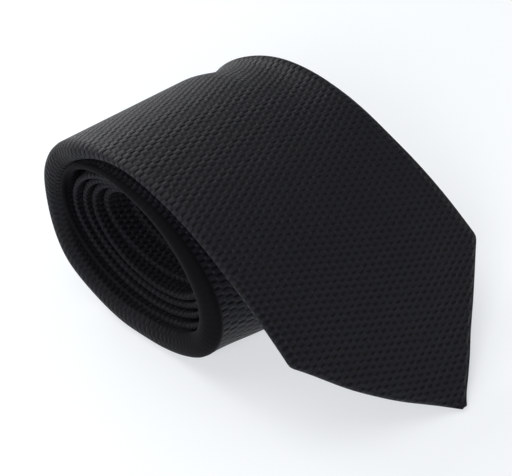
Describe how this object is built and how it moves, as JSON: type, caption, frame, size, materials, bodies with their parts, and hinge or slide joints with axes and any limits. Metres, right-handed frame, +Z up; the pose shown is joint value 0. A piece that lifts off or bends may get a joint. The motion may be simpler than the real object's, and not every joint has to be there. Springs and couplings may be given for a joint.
{
  "type": "necktie",
  "caption": "Textured black necktie rolled up from its narrow end, with the wide pointed blade hanging loose over the front of the roll and resting on the table.",
  "frame": {"origin": "on the table, under the middle of the bounding box", "axes": "+Z up; +X across the tie, along the roll's own axis; -Y the side to which the wide blade falls"},
  "size_m": [0.09, 0.153, 0.066],
  "materials": {
    "shell_cloth": "black grenadine weave silk with open raised cells, soft low sheen",
    "interlining_wool": "brushed off-white wool interlining",
    "tipping_cloth": "plain black lining cloth, light satin sheen",
    "sewing_thread": "black twisted sewing thread",
    "label_satin": "black woven satin label, blank"
  },
  "bodies": {
    "roll": {"shell_front": "shell_cloth", "shell_neck": "shell_cloth", "shell_tail": "shell_cloth", "interlining_roll": "interlining_wool", "tipping_front": "tipping_cloth", "tipping_tail": "tipping_cloth", "slip_stitch": "sewing_thread", "bar_tack_wide": "sewing_thread", "bar_tack_narrow": "sewing_thread", "keeper_loop": "shell_cloth", "care_label": "label_satin"},
    "blade": {"shell_blade": "shell_cloth", "interlining_blade": "interlining_wool", "tipping_blade": "tipping_cloth"},
    "point": {"shell_point": "shell_cloth", "interlining_point": "interlining_wool", "tipping_point": "tipping_cloth"}
  },
  "joints": [
    {"name": "blade_lift", "type": "hinge", "parent": "roll", "child": "blade", "pos_m": [0, 0.0148, 0.06272], "axis": [-1, 0, 0], "range_deg": [0, 75]},
    {"name": "point_lift", "type": "hinge", "parent": "blade", "child": "point", "pos_m": [0, -0.04623, 0.0245], "axis": [-1, 0, 0], "range_deg": [0, 50]}
  ]
}
